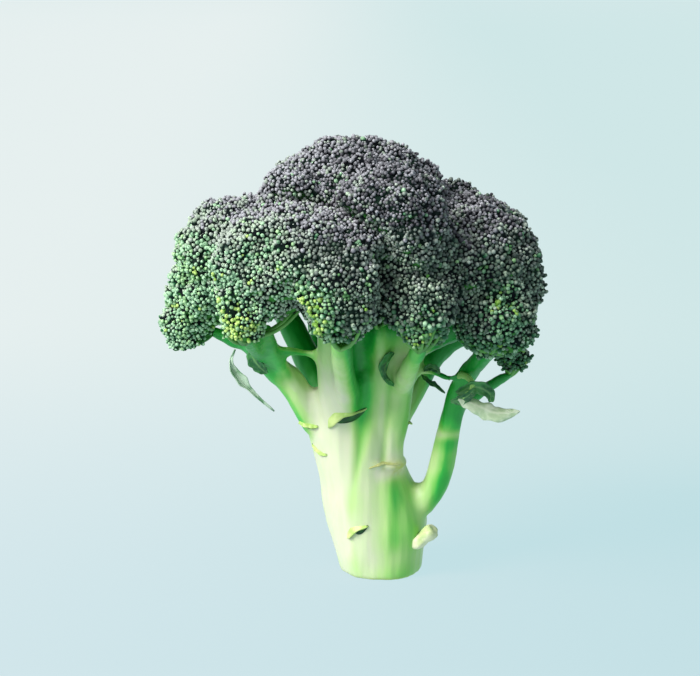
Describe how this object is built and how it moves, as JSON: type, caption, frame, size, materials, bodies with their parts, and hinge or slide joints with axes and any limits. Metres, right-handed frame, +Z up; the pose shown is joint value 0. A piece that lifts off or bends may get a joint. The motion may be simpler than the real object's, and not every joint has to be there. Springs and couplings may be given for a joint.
{
  "type": "broccoli head",
  "caption": "Fresh whole broccoli head standing on its cut stalk, with branching stems, domed bud clusters and small leaves.",
  "frame": {"origin": "centre of the cut face under the stalk, on the surface it stands on", "axes": "+Z up the stalk to the crown, +X towards the side shoot, -Y towards the front"},
  "size_m": [0.167, 0.167, 0.191],
  "materials": {
    "stalk": "satin",
    "stem": "satin",
    "buds": "matte",
    "leaf": "matte",
    "leaf_base": "matte"
  },
  "bodies": {
    "root": {"main_stalk": "stalk", "centre_branch": "stem", "left_branch": "stem", "right_branch": "stem", "side_shoot": "stem", "back_right_branch": "stem", "back_left_branch": "stem", "back_branch": "stem", "rear_branch": "stem", "front_left_stem": "stem", "front_centre_stem": "stem", "front_right_stem": "stem", "front_left_low_stem": "stem", "left_low_stem": "stem", "shoot_twig": "stem", "back_low_left_stem": "stem", "back_low_right_stem": "stem", "left_twig": "stem", "right_twig": "stem", "leaf_stalk": "stem", "floret_crown": "buds", "floret_crown_left": "buds", "floret_crown_back": "buds", "floret_upper_front": "buds", "floret_front_left": "buds", "floret_front_left_low": "buds", "floret_front_centre": "buds", "floret_front_right": "buds", "floret_right": "buds", "floret_right_low": "buds", "floret_right_back": "buds", "floret_right_small": "buds", "floret_upper_right": "buds", "floret_left": "buds", "floret_left_low": "buds", "floret_left_back": "buds", "floret_back": "buds", "floret_right_rear": "buds", "floret_back_low_left": "buds", "floret_back_low_right": "buds", "side_leaf": "leaf", "hanging_leaf": "leaf", "right_bract": "leaf", "left_bract": "leaf", "twig_leaflet": "leaf", "front_leaf_base": "leaf_base", "low_leaf_base": "leaf_base", "left_leaf_base": "leaf_base", "right_leaf_stub": "leaf_base", "ring_leaf_base": "leaf_base"}
  },
  "joints": []
}
